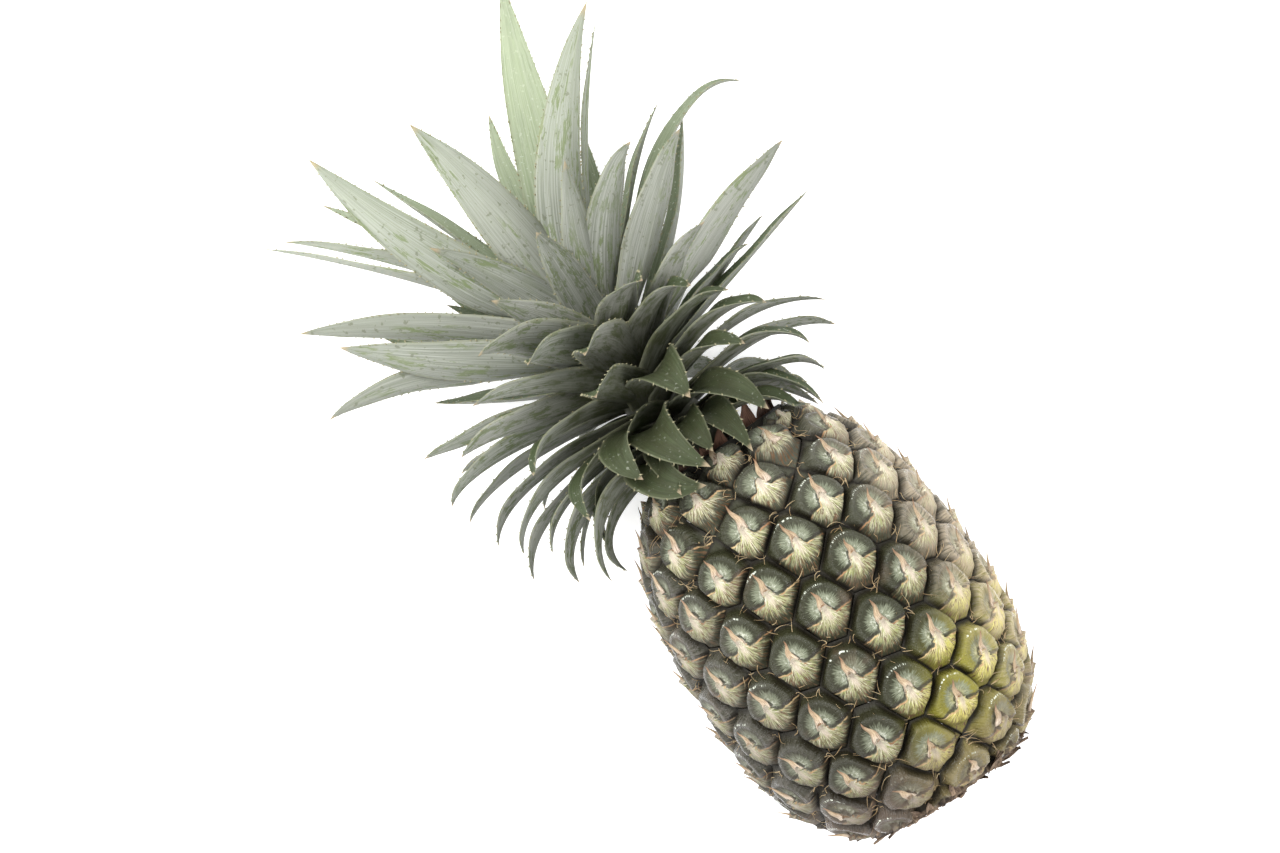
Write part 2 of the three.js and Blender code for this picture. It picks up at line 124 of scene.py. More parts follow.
# Threads in the grooves
FIBRES_PER_EYE = 9
FIBRE_LENGTH = (2.5, 7.5)
FIBRE_RADIUS = 0.17
FIBRE_STATIONS = 6
FIBRE_SIDES = 3

# Papery bracts at the neck and the base
BRACT_STATIONS = 8
BRACT_ACROSS = 5
BRACT_THICKNESS = 0.5

# Crown
GAP = 0.3
CROWN_SIDE = 8.0
CROWN_LEAN = 7.0
CROWN_SHIFT = -2.0
STEM_LENGTH = 62.0
STEM_BASE_RADIUS = 16.0
STEM_TOP_RADIUS = 6.0
LEAF_CHANNEL = 0.5
ROOT_THICKNESS = 1.7
TIP_THICKNESS = 0.8
TABLE_GAP = 0.8
FRUIT_GAP = 5.0
LEAF_STATIONS = 26
LEAF_ACROSS = 9
LEAF_CLEARANCE = 1.5  # of a hidden leaf's edge over the table
STEM_RINGS = 12
STEM_SIDES = 40

# Spines on the leaves' edges
SPINE_SPACING = 4.5
SPINE_OUT = 0.7
SPINE_AHEAD = 0.8  # each leans toward the leaf's tip by this
SPINE_SUNK = 0.4  # how deep its foot lies in the leaf
SPINE_FOOT = 0.45  # half the length of its foot
SPINE_THICKNESS = 0.5
TALL_LEAF = 105  # a leaf shorter than this has a darker bloom
LIGHT_THROUGH = 0.33  # part of a leaf's light that shines through it

# Short leaves round the neck that bend back over the fruit's shoulder
NECK_COUNT = 8
NECK_ROOT = 5
NECK_MIDDLE = (9, 36)  # along the axis, and out from it
NECK_TIP = (-8, 53)
NECK_WIDTH = 17

# Leaves that stand out, listed one by one, each as height of the root on the stem, the leaf's middle
# and its tip (along the crown's middle line, to the left of it, up), width and twist
LEAVES = [
    (60, [113, 8, 28], [164, 18, 42], 22, 12),
    (58, [115, 38, 22], [177, 57, 25], 21, 40),
    (58, [110, 24, -6], [162, 43, -8], 15, 0),
    (58, [128, -18, -12], [198, -43, -15], 24, 50),
    (56, [115, -18, 18], [167, -64, 22], 22, -45),
    (54, [113, -27, 0], [164, -66, -2], 12, 0),
    (54, [118, -1, -30], [160, -10, -42], 12, 0),
    (54, [111, 46, 8], [162, 93, 5], 12, 0),
    (56, [116, 44, -12], [162, 86, -18], 16, 30),
    (54, [115, 36, -28], [168, 66, -40], 15, 0),
    (46, [80, 1, 30], [104, 2, 45], 16, 0),
    (50, [92, -23, 24], [113, -47, 30], 18, -30),
    (48, [96, -35, -16], [124, -68, -20], 12, 0),
    (48, [108, -62, -20], [111, -100, -25], 12, 20),
    (46, [83, -37, 12], [108, -66, 12], 19, -40),
    (50, [78, 29, -20], [106, 47, -30], 15, 0),
    (52, [95, 54, 10], [126, 99, 8], 16, 45),
    (48, [79, 53, 20], [112, 88, 22], 19, 45),
    (44, [80, 64, 10], [92, 108, 8], 15, 40),
    (42, [66, -55, 14], [82, -96, 15], 17, -40),
    (36, [50, -53, -12], [62, -97, -15], 12, 10),
    (34, [52, -39, 0], [57, -64, 0], 12, 10),
    (42, [67, 25, 46], [77, 45, 68], 24, 0),
    (38, [59, 18, 50], [64, 32, 72], 24, 0),
    (34, [53, 5, 52], [55, 13, 74], 23, 0),
    (40, [62, -10, 44], [66, -20, 62], 23, 0),
    (34, [55, -19, 40], [55, -34, 50], 20, 0),
    (30, [46, -25, 36], [46, -45, 42], 19, 0),
    (26, [39, -33, 34], [34, -54, 38], 19, 0),
    (24, [34, -43, -6], [22, -77, -10], 14, 0),
    (14, [13, -42, 8], [0, -60, 5], 14, 0),
    (18, [25, -41, 20], [12, -60, 18], 15, 0),
    (36, [50, 53, 16], [59, 86, 15], 16, 20),
    (33, [47, 46, 28], [51, 73, 32], 17, 20),
    (30, [42, 58, 8], [38, 88, 5], 16, 20),
    (28, [35, 55, -4], [29, 87, -8], 14, 10),
    (28, [37, 36, 38], [30, 54, 42], 16, 0),
    (23, [27, 55, 8], [15, 82, 5], 15, 10),
    (20, [22, 51, 18], [7, 75, 15], 15, 10),
    (16, [14, 54, -8], [-4, 79, -12], 14, 10),
    (17, [15, 45, 14], [1, 66, 10], 14, 0),
    (12, [6, 46, 10], [-14, 64, 5], 16, 20),
    (9, [3, 38, 24], [-20, 53, 20], 16, 20),
    (20, [21, 20, 50], [6, 21, 58], 18, 0),
    (14, [17, 8, 50], [-4, -2, 60], 20, 0),
    (11, [13, -4, 44], [0, -6, 52], 15, 0),
    (24, [35, -6, 52], [21, -10, 66], 22, 0),
    (16, [19, -19, 42], [1, -32, 45], 18, 0),
    (6, [5, 16, 42], [-9, 3, 50], 22, 0),
    (8, [6, -30, 22], [-7, -43, 18], 15, 0),
    (36, [66, 14, 34], [92, 30, 52], 18, 0),
    (30, [52, 30, 38], [64, 58, 50], 18, 0),
    (26, [40, 12, 54], [40, 18, 84], 19, 0),
    (22, [32, -22, 44], [26, -38, 56], 17, 0),
    (32, [58, -26, 34], [72, -52, 42], 16, -20),
    (44, [84, 16, 18], [122, 38, 40], 17, 20),
    (44, [84, -8, 22], [120, -22, 44], 17, -15),
    (12, [20, 34, 34], [4, 46, 42], 15, 0),
    (6, [-2, 38, 12], [-21, 46, 4], 14, 10),
]

# Leaves round the underside of the crown, by rule: how many, height of the first and the
# last root, how far along the axis and how far out the first and the last tip lie, width
UNDER_LEAVES = [
    (10, (8, 26), (-12, 30), (66, 88), 15),
    (8, (28, 40), (46, 92), (84, 96), 16),
    (6, (42, 52), (112, 156), (84, 62), 17),
]


def draws(seed):
    """The same seeded draws that the solids use."""
    state = seed

    def draw(low, high):
        nonlocal state
        state = (state * 1664525 + 1013904223) % 4294967296
        return low + (high - low) * state / 4294967296

    return draw


def smooth(low, high, value):
    """Zero up to the low value, one from the high value on, and a soft step between."""
    part = np.clip((np.asarray(value, float) - low) / (high - low), 0, 1)
    return part * part * (3 - 2 * part)


def radius_at(x):
    """The fruit's radius over the eyes, at a distance from the base."""
    reach = np.where(x < WIDEST_AT, BASE_REACH, TOP_REACH)
    d = np.minimum(1, np.abs(x - WIDEST_AT) / reach)
    return FRUIT_RADIUS * (1 - d ** CURVE_POWER) ** (1 / CURVE_POWER)


def slope_at(x):
    return (radius_at(x + 0.05) - radius_at(x - 0.05)) / 0.1


# Travel along the skin, measured in radii, so that shapes keep their form when unrolled
TRAVEL_STEP = 0.5
TRAVEL_X = np.arange(0, FRUIT_LENGTH + TRAVEL_STEP / 2, TRAVEL_STEP)
MIDDLES = TRAVEL_X[:-1] + TRAVEL_STEP / 2
TRAVEL_RISES = np.hypot(1, slope_at(MIDDLES)) * TRAVEL_STEP / radius_at(MIDDLES)
TRAVEL = np.concatenate([[0], np.cumsum(TRAVEL_RISES)])
TRAVEL_END = TRAVEL[-1]
START_RATE = (TRAVEL[1] - TRAVEL[0]) / TRAVEL_STEP
END_RATE = (TRAVEL[-1] - TRAVEL[-2]) / TRAVEL_STEP


def travel_at(x):
    """Travel at a distance from the base, carried on past both ends."""
    if x < 0:
        return x * START_RATE
    if x > FRUIT_LENGTH:
        return TRAVEL_END + (x - FRUIT_LENGTH) * END_RATE
    return float(np.interp(x, TRAVEL_X, TRAVEL))


def radius_along(travel):
    """The fruit's radius at a travel along its skin."""
    return float(radius_at(np.interp(travel, TRAVEL, TRAVEL_X)))


def on_rim(travel, near=1e-9):
    """Whether a place on the skin lies on the fruit's first or last rim."""
    return (travel <= near) | (travel >= TRAVEL_END - near)


def within_lap(turn):
    """The same turn, between minus half a lap and half a lap."""
    return turn - LAP * np.round(turn / LAP)


def skin_points(turn, travel, height):
    """Points of the fruit's skin, raised along its normal, in the part's millimetres."""
    turn, travel, height = np.broadcast_arrays(turn, travel, height)
    x = np.interp(travel, TRAVEL, TRAVEL_X)
    slope = np.where(on_rim(travel), 0, slope_at(x))
    length = np.hypot(1, slope)
    radius = radius_at(x) + height / length
    return np.stack([x - height * slope / length, -np.sin(turn) * radius, np.cos(turn) * radius], -1)


def clip(polygon, nx, ny, limit):
    """Part of a polygon on the near side of the line halfway between two eyes."""
    kept = []
    for i, a in enumerate(polygon):
        b = polygon[(i + 1) % len(polygon)]
        da = a[0] * nx + a[1] * ny - limit
        db = b[0] * nx + b[1] * ny - limit
        if da <= 0:
            kept.append(a)
        if da * db < 0:
            part = da / (da - db)
            kept.append((a[0] + part * (b[0] - a[0]), a[1] + part * (b[1] - a[1])))
    return kept


def eye_cells():
    """Each eye's place and the outline of its cell, as numbers of shared corners."""
    sites = []
    for k in range(FIRST_EYE - SPARE_EYES, LAST_EYE + SPARE_EYES + 1):
        turn = float(within_lap(math.radians(EYE_TURN * k + FIRST_EYE_TURN)))
        sites.append((turn, travel_at(EYE_START + k * EYE_STEP), k))
    corners = []

    def corner_number(place):
        for i, (turn, travel) in enumerate(corners):
            apart = math.hypot(within_lap(place[0] - turn), place[1] - travel)
            if on_rim(place[1]) == on_rim(travel) and apart < SHORT_GROOVE:
                return i
        corners.append(place)
        return len(corners) - 1

    cells = []
    for turn, travel, k in sites:
        outline = [(turn - 1, 0.0), (turn + 1, 0.0), (turn + 1, TRAVEL_END), (turn - 1, TRAVEL_END)]
        for other_turn, other_travel, other in sites:
            for lap in (-LAP, 0, LAP):
                nx = other_turn + lap - turn
                ny = other_travel - travel
                if math.hypot(nx, ny) > NEIGHBOUR_REACH or (other == k and lap == 0):
                    continue
                middle = nx * (turn + nx / 2) + ny * (travel + ny / 2)
                outline = clip(outline, nx, ny, middle)
        if len(outline) < 3:
            continue
        numbers = [corner_number(p) for p in outline]
        numbers = [c for i, c in enumerate(numbers) if c != numbers[(i + 1) % len(numbers)]]
        if len(set(numbers)) > 2:
            cells.append(((turn, travel, k), numbers))
    return cells, corners


def cell_outline(numbers, corners, shared):
    """Points round a cell; neighbours get the very same points on the edge they share."""
    outline = []
    for i, a in enumerate(numbers):
        b = numbers[(i + 1) % len(numbers)]
        low, high = min(a, b), max(a, b)
        if (low, high) not in shared:
            t0, w0 = corners[low]
            t1, w1 = corners[high]
            t1 -= LAP * round((t1 - t0) / LAP)
            length = math.hypot(t1 - t0, w1 - w0) * radius_along((w0 + w1) / 2)
            count = max(1, round(length / GROOVE_PIECE))
            shared[low, high] = [
                (t0 + (t1 - t0) * j / count, w0 + (w1 - w0) * j / count)
                for j in range(count + 1)
            ]
        run = shared[low, high]
        outline += run[:-1] if a < b else run[:0:-1]
    return np.array(outline)


def bract_edge(x, tone):
    """The bract's free edge across an eye: a short drop beside the hub, then wings."""
    side = np.abs(x)
    drop = 0.36 * smooth(0.06, 0.26, side)
    return 0.1 - drop + 0.1 * smooth(0.3, 1.0, side) * np.cos(tone * 20)


def eye_height(q, x, y, tone):
    """Relief of one eye, from near zero at its crest down to the groove."""
    r = np.hypot(x, y + 0.02)
    away = r + (q - r) * smooth(0.75, 1.0, q)
    angle = np.arctan2(x, y)
    wall = -GROOVE_DEPTH * smooth(0.74, 1.0, away) ** 1.3
    crest = 0.62 + 0.04 * np.sin(3 * angle + tone * 30)
    hollow = -HOLLOW_DEPTH * (1 - smooth(0.2, crest, away))
    crease = -CREASE_DEPTH * np.abs(np.sin(2.5 * angle + tone * 12)) ** 8 * smooth(0.2, 0.5, away)
    sepal = hollow + crease - SEPAL_DEPTH
    rays = RAY_HEIGHT * np.sin(9 * np.arctan2(x, -y) + 9 * tone) * smooth(0.15, 0.5, r)
    bract = BRACT_TOP - BRACT_FALL * np.clip(r, 0, 1) ** 1.5 + rays
    above = y - bract_edge(x, tone)
    over = smooth(-0.025, 0.035, above)
    lip = LIP_HEIGHT * np.exp(-(((above + 0.05) / 0.05) ** 2)) * smooth(1.0, 0.8, q)
    hub = HUB_HEIGHT * np.exp(-((x / 0.14) ** 2 + ((y - 0.05) / 0.22) ** 2))
    lower = wall * (1 - 0.35 * smooth(0.1, 0.7, -y) * (q < 0.999))
    side = np.where(y > bract_edge(x, tone), wall, lower)
    return side + bract * (1 - over) + sepal * over + lip + hub


def make_mesh(name, points, faces, layers):
    """An object from points in millimetres. A layer of two values a point becomes a UV map."""
    mesh = bpy.data.meshes.new(name)
    mesh.from_pydata((np.asarray(points, dtype=np.float32) * MM).tolist(), [], faces)
    mesh.validate()
    loops = np.concatenate(faces)
    mesh.shade_smooth()
    for layer, values in layers.items():
        values = np.asarray(values, dtype=np.float32)
        if values.shape[1] == 2:
            uv = mesh.uv_layers.new(name=layer)
            uv.data.foreach_set("uv", values[loops].ravel())
        else:
            full = np.concatenate([values, np.ones((len(values), 1), np.float32)], 1)
            data = mesh.color_attributes.new(name=layer, type="FLOAT_COLOR", domain="POINT")
            data.data.foreach_set("color", full.ravel())
    piece = bpy.data.objects.new(name, mesh)
    bpy.context.scene.collection.objects.link(piece)
    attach(piece, "root")
    return piece


def from_axis(points):
    """From the fruit's own axis and base to the part's frame, kept above the table."""
    moved = np.asarray(points, dtype=float) + [BASE_X, AXIS_Y, AXIS_HEIGHT]
    moved[:, 2] = np.maximum(moved[:, 2], 0.0)
    return moved


def eye_tone(k):
    """An eye's own number from zero to one, by which its colours and form differ."""
    return (k * 0.618034 + 0.37) % 1


class Growth:
    """Gathers the points, faces and layers of a piece that is made of many like parts."""

    def __init__(self, layer="blade"):
        self.layer = layer
        self.points, self.faces, self.marks, self.tones = [], [], [], []
        self.count = 0

    def add(self, points, marks, tones):
        """Adds points with two marks and three tones each, and gives the first one's number."""
        first = self.count
        self.points.append(points)
        self.marks.append(marks)
        self.tones.append(tones)
        self.count += len(points)
        return first

    def line(self, points, across, t, tones):
        """Adds a line of points along a strand, at one place across it."""
        self.add(points, np.stack([np.full(len(t), across), t], -1), np.tile(tones, (len(t), 1)))

    def join_rings(self, n):
        """Joins the last two rings, of n points each."""
        a = self.count - 2 * n + np.arange(n)
        b = self.count - 2 * n + (np.arange(n) + 1) % n
        self.faces += np.stack([a, b, b + n, a + n], -1).tolist()

    def close_strand(self, lines, stations, tip=True):
        """Joins the last lines into a strand with an end face at its foot and tip."""
        start = self.count - lines * stations
        for i in range(lines):
            a = start + i * stations
            b = start + (i + 1) % lines * stations
            self.faces += [[a + s, b + s, b + s + 1, a + s + 1] for s in range(stations - 1)]
        self.faces.append([start + i * stations for i in range(lines)][::-1])
        if tip:
            self.faces.append([start + (i + 1) * stations - 1 for i in range(lines)])

    def piece(self, name, place=(0, 0, 0)):
        """The finished object. Its points are measured from a place on the fruit's axis."""
        layers = {self.layer: np.concatenate(self.marks), "tone": np.concatenate(self.tones)}
        points = from_axis(np.concatenate(self.points) + place)
        return make_mesh(name, points, self.faces, layers)


def eye_surface(growth, site, numbers, corners, shared):
    """Adds one eye, in rings from its outline in, and gives its points on either rim."""
    turn, travel, k = site
    offset = cell_outline(numbers, corners, shared) - [turn, travel]
    offset[:, 0] = within_lap(offset[:, 0])
    corner = np.array([corners[c] for c in numbers]) - [turn, travel]
    corner[:, 0] = within_lap(corner[:, 0])
    middle = corner.mean(0)
    arm = offset - middle
    reach = np.hypot(arm[:, 0], arm[:, 1]).mean()
    tone = eye_tone(k)
    n = len(offset)
    first = growth.count
    for ring, q in enumerate(EYE_RINGS):
        place = np.array([turn, travel]) + middle + arm * q
        if q == 1:
            place = offset + [turn, travel]
        x, y = q * arm[:, 0] / reach, q * arm[:, 1] / reach
        rim = (q == 1) & on_rim(place[:, 1], 1e-6)
        height = np.where(rim, -RIM_DEPTH, eye_height(q, x, y, tone))
        points = skin_points(place[:, 0], place[:, 1], height)
        growth.add(points, np.stack([x, y], -1), np.tile([tone, q, 0.0], (n, 1)))
        if ring:
            growth.join_rings(n)

    place = np.array([[turn, travel]]) + middle
    points = skin_points(place[:, 0], place[:, 1], eye_height(0.0, 0.0, 0.0, tone))
    centre = growth.add(points, np.zeros((1, 2)), np.array([[tone, 0.0, 0.0]]))
    last = centre - n
    growth.faces += [[last + i, last + (i + 1) % n, centre] for i in range(n)]

    rims = {}, {}
    for i in range(n):
        around = round((turn + offset[i, 0]) % LAP, 4)
        if travel + offset[i, 1] < 1e-6:
            rims[0][around] = first + i
        if travel + offset[i, 1] > TRAVEL_END - 1e-6:
            rims[1][around] = first + i
    return rims


def fruit_end(growth, at_crown, rim):
    """Closes one end of the fruit with a fan from its middle to its rim."""
    ring = [rim[around] for around in sorted(rim)]
    along = FRUIT_LENGTH if at_crown else BASE_HOLLOW
    middle = growth.add(np.array([[along, 0, 0]]), np.array([[0.0, -1.0]]), np.array([[0.5, 1.0, 1.0]]))
    for i, a in enumerate(ring):
        b = ring[(i + 1) % len(ring)]
        growth.faces.append([middle, a, b] if at_crown else [middle, b, a])


def weld(piece):
    """Joins the points that neighbouring cells share."""
    mesh = bmesh.new()
    mesh.from_mesh(piece.data)
    bmesh.ops.remove_doubles(mesh, verts=mesh.verts, dist=WELD_DISTANCE * MM)
    mesh.to_mesh(piece.data)
    mesh.free()


def fruit_skin(cells, corners):
    growth = Growth("eye")
    shared = {}
    base_rim, crown_rim = {}, {}
    for site, numbers in cells:
        at_base, at_crown = eye_surface(growth, site, numbers, corners, shared)
        base_rim.update(at_base)
        crown_rim.update(at_crown)
    fruit_end(growth, False, base_rim)
    fruit_end(growth, True, crown_rim)
    piece = growth.piece("rind")
    weld(piece)
    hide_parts("fruit")
    return piece


# Crown
STEM = np.array([math.cos(math.radians(CROWN_LEAN)), math.sin(math.radians(CROWN_LEAN)), 0.0])
CROWN_PLACE = [FRUIT_LENGTH + GAP, 0, 0]


def stem_point(height):
    return np.array([0, CROWN_SIDE + CROWN_SHIFT, 0]) + STEM * height


def unit(v):
    """The same directions with a length of one."""
    return v / np.maximum(np.linalg.norm(v, axis=-1, keepdims=True), 1e-9)


def leaf_lines(leaf, t):
    """Middle line, sideways direction, inner direction and half width at each t."""
    height, middle, tip, width, twist = leaf
    middle, tip = np.array(middle, float), np.array(tip, float)
    root = stem_point(height)
    control = 2 * middle - (root + tip) / 2
    t = t[:, None]
    point = root * (1 - t) ** 2 + control * 2 * t * (1 - t) + tip * t * t
    along = unit((control - root) * (1 - t) + (tip - control) * t)
    out = (middle + tip) / 2 - root
    out = unit(out - STEM * (out @ STEM))
    inner = unit(np.cross(along, np.cross(STEM, out)))
    side = np.cross(inner, along)
    turn = math.radians(twist) * np.minimum(1, t / 0.4)
    turned_side = side * np.cos(turn) + inner * np.sin(turn)
    turned_inner = inner * np.cos(turn) - side * np.sin(turn)
    taper = np.clip((t - 0.35) / 0.65, 0, 1)
    half = width / 2 * (1 - taper ** 2) * np.minimum(1, 0.8 + t / 0.75)
    return point, turned_side, turned_inner, half


def leaf_length(leaf):
    """A leaf's rough length, from its middle and its tip."""
    return 2 * np.linalg.norm(np.subtract(leaf[2], leaf[1]))


def clear(points, above=0.0):
    """Bends what would reach the table or the fruit clear of them."""
    points = np.array(points)
    radius = np.hypot(points[:, 1], points[:, 2])
    least = radius_at(np.clip(points[:, 0] + FRUIT_LENGTH, 0, FRUIT_LENGTH)) + FRUIT_GAP
    push = np.where((points[:, 0] < 0) & (radius < least), least / np.maximum(radius, 1e-6), 1)
    points[:, 1:] *= push[:, None]
    points[:, 2] = np.maximum(points[:, 2], TABLE + TABLE_GAP + above)
    return points


def under_leaves():
    """The leaves under the crown, which hang just over the table."""
    draw = draws(11)
    leaves = []
    for count, roots, along, out, width in UNDER_LEAVES:
        for i in range(count):
            part = (i * 0.618 + draw(0, 0.1)) % 1
            turn = math.radians(100 + 160 * (i + draw(0.3, 0.7)) / count)
            height = roots[0] + (roots[1] - roots[0]) * part
            reach = (out[0] + (out[1] - out[0]) * part) * draw(0.92, 1.05)
            rise = along[0] + (along[1] - along[0]) * part
            radial = np.array([0, math.sin(turn), math.cos(turn)])
            root = stem_point(height)
            tip = root + radial * reach
            middle = root + radial * reach * 0.6
            tip[0] = rise
            middle[0] = height + (rise - height) * 0.35 + 8
            limit = TABLE + LEAF_CLEARANCE + width / 2 * abs(radial[1])
            tip[2] = max(tip[2], limit)
            middle[2] = max(middle[2], limit + 2)
            leaves.append((height, middle, tip, width, draw(-12, 12)))
    return leaves


def neck_leaves():
    draw = draws(23)
    leaves = []
    for i in range(NECK_COUNT):
        turn = math.radians(360 * (i + draw(0.2, 0.8)) / NECK_COUNT)
        height = NECK_ROOT + draw(-2, 3)
        radial = np.array([0, math.sin(turn), math.cos(turn)])
        ends = []
        for along, out in (NECK_MIDDLE, NECK_TIP):
            point = np.array([along + draw(-3, 3), CROWN_SIDE + CROWN_SHIFT, 0])
            point = point + radial * out * draw(0.95, 1.05)
            point[2] = max(point[2], TABLE + LEAF_CLEARANCE + NECK_WIDTH / 2 * abs(radial[1]))
            ends.append(point)
        leaves.append((height, *ends, NECK_WIDTH, draw(-10, 10)))
    return leaves


def all_leaves():
    """Every leaf of the crown, set beside the fruit's axis."""
    aside = np.array([0, CROWN_SIDE, 0])
    shown = [
        (height, np.add(middle, aside), np.add(tip, aside), width, twist)
        for height, middle, tip, width, twist in LEAVES
    ]
    return shown + under_leaves() + neck_leaves()


def leaf_blade(growth, leaf, number):
    """One closed blade: outer face, thin edge, inner face."""
    t = np.linspace(0, 1, LEAF_STATIONS) ** 0.9
    point, side, inner, half = leaf_lines(leaf, t)
    tone = (number * 0.618034) % 1
    tall = min(1, leaf[0] / STEM_LENGTH, leaf_length(leaf) / TALL_LEAF)
    wave = 0.5 * np.sin(t * 15 + tone * 40)[:, None]
    thickness = (ROOT_THICKNESS + (TIP_THICKNESS - ROOT_THICKNESS) * t)[:, None]
    across = np.linspace(-1, 1, LEAF_ACROSS)
    for face, order in ((0, across), (1, across[::-1])):
        for c in order:
            lift = half * LEAF_CHANNEL * abs(c) ** 1.5 + wave * c ** 2 * np.minimum(1, half / 4)
            lift = lift + face * thickness * (1 - 0.8 * c * c) * np.minimum(1, half / 2)
            p = point + side * half * c + inner * lift
            above = face * 0.7 * (1 - 0.8 * c * c)
            growth.line(np.where(t[:, None] > 0.1, clear(p, above), p), c, t, [tone, face, tall])
    growth.close_strand(2 * LEAF_ACROSS, LEAF_STATIONS, tip=False)


def crown_leaves(leaves):
    growth = Growth()
    for number, leaf in enumerate(leaves):
        leaf_blade(growth, leaf, number)
    piece = growth.piece("crown_leaves", CROWN_PLACE)
    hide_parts("crown")
    return piece


def crown_stem():
    """The short tapered stem."""
    growth = Growth()
    n = STEM_SIDES
    turn = LAP * np.arange(n)[:, None] / n
    round_stem = np.cos(turn) * [-STEM[1], STEM[0], 0] + np.sin(turn) * [0, 0, 1]
    for height in np.linspace(0, STEM_LENGTH, STEM_RINGS):
        radius = STEM_BASE_RADIUS + (STEM_TOP_RADIUS - STEM_BASE_RADIUS) * height / STEM_LENGTH
        ring = stem_point(height) + radius * round_stem
        ring[:, 0] = np.maximum(ring[:, 0], 0)
        start = growth.add(ring, np.zeros((n, 2)), np.zeros((n, 3)))
        if start:
            growth.join_rings(n)
    growth.faces.append(list(range(n))[::-1])
    growth.faces.append([start + i for i in range(n)])
    piece = growth.piece("crown_stem", CROWN_PLACE)
    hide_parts("crown")
    return piece


def leaf_spines(leaves):
    """Short hooked spines along the leaves' edges, each a four-sided point."""
    chance = np.random.default_rng(9)
    growth = Growth()
    for leaf in leaves:
        count = int(leaf_length(leaf) / SPINE_SPACING)
        t = np.linspace(0.25, 0.94, count) + chance.uniform(-0.01, 0.01, count)
        point, side, inner, half = leaf_lines(leaf, t)
        along = unit(leaf_lines(leaf, t + 0.02)[0] - point)
        for hand in (-1, 1):
            edge = clear(point + (side * hand + inner * LEAF_CHANNEL) * half)
            lean = side * hand * SPINE_OUT + along * SPINE_AHEAD
            tips = edge + lean * chance.uniform(0.6, 1.2, (count, 1))
            tips[:, 2] = np.maximum(tips[:, 2], TABLE + TABLE_GAP)
            foot = edge - side * hand * SPINE_SUNK
            behind = foot - along * SPINE_FOOT
            before = foot + along * SPINE_FOOT
            within = foot + inner * SPINE_THICKNESS
            for corner in np.stack([behind, before, within, tips], 1):
                a = growth.add(corner, np.full((4, 2), 0.5), np.full((4, 3), 0.5))
                growth.faces += [[a, a + 2, a + 1], [a, a + 1, a + 3]]
                growth.faces += [[a + 1, a + 2, a + 3], [a + 2, a, a + 3]]
    piece = growth.piece("leaf_spines", CROWN_PLACE)
    return piece


# Dry growth on the fruit
def bract_tips(cells):
    """The thin curled end of each eye's bract."""
    draw = draws(7)
    growth = Growth()
    t = np.linspace(0, 1, TIP_STATIONS)
    for (turn, travel, k), _ in cells:
        if not 0.12 < travel < TRAVEL_END - 0.1:
            continue
        scale = 1 / radius_along(travel)
        length = TIP_LENGTH * draw(0.8, 1.15)
        sway = draw(-2, 2)
        rise = TIP_RISE * draw(0.7, 1.3)
        along = travel + (-TIP_ROOT + (length + TIP_ROOT) * t) * scale
        lift = -TIP_SUNK + (rise + TIP_SUNK) * t ** 1.6
        half = TIP_HALF_WIDTH * (1 - t ** 1.1) + 0.05
        curl = sway * t ** 2 + 0.4 * np.sin(t * 9 + k)
        for i in range(TIP_SIDES):
            angle = LAP * i / TIP_SIDES
            points = skin_points(
                turn + (curl + half * math.cos(angle)) * scale,
                np.clip(along, 1e-6, TRAVEL_END - 1e-6),
                lift + half * 0.4 * math.sin(angle) + 0.35 * half * abs(math.cos(angle)),
            )
            growth.line(points, math.cos(angle), t, [eye_tone(k)] * 3)
        growth.close_strand(TIP_SIDES, TIP_STATIONS)
    piece = growth.piece("bract_tips")
    return piece


def thread(growth, path, radii, tone):
    t = np.linspace(0, 1, len(path))
    along = unit(np.gradient(path, axis=0))
    side = unit(np.cross(along, [0.3, 0.5, 0.8]))
    up = np.cross(side, along)
    for i in range(FIBRE_SIDES):
        turn = LAP * i / FIBRE_SIDES
        ring = path + (side * math.cos(turn) + up * math.sin(turn)) * radii[:, None]
        growth.line(ring, math.cos(turn), t, [tone] * 3)
    growth.close_strand(FIBRE_SIDES, len(path))


def rind_fibres(cells, corners):
    """Dry threads that lie in the grooves and stand off the bracts' margins."""
    chance = np.random.default_rng(5)
    growth = Growth()
    t = np.linspace(0, 1, FIBRE_STATIONS)
    for (turn, travel, k), numbers in cells:
        if not 0.1 < travel < TRAVEL_END - 0.08:
            continue
        scale = 1 / radius_along(travel)
        for _ in range(FIBRES_PER_EYE):
            corner = corners[numbers[chance.integers(len(numbers))]]
            aside = within_lap(corner[0] - turn)
            reach = chance.uniform(0.55, 1.0)
            start = np.array([turn + aside * reach, travel + (corner[1] - travel) * reach])
            length = chance.uniform(*FIBRE_LENGTH)
            heading = chance.normal(0, 0.7) + chance.choice([0, math.pi / 2, -math.pi / 2])
            angle = heading + chance.normal(0, 0.8) * t
            place = start + np.stack([np.sin(angle), np.cos(angle)], -1) * (t * length)[:, None] * scale
            place[:, 1] = np.clip(place[:, 1], 0.01, TRAVEL_END - 0.01)
            lift = -GROOVE_DEPTH + 1.2 + chance.uniform(0.5, 3.6) * t + 0.6 * np.sin(5 * t + k)
            path = skin_points(place[:, 0], place[:, 1], lift)
            thread(growth, path, FIBRE_RADIUS * (1 - 0.8 * t), chance.random())
    piece = growth.piece("rind_fibres")
    return piece


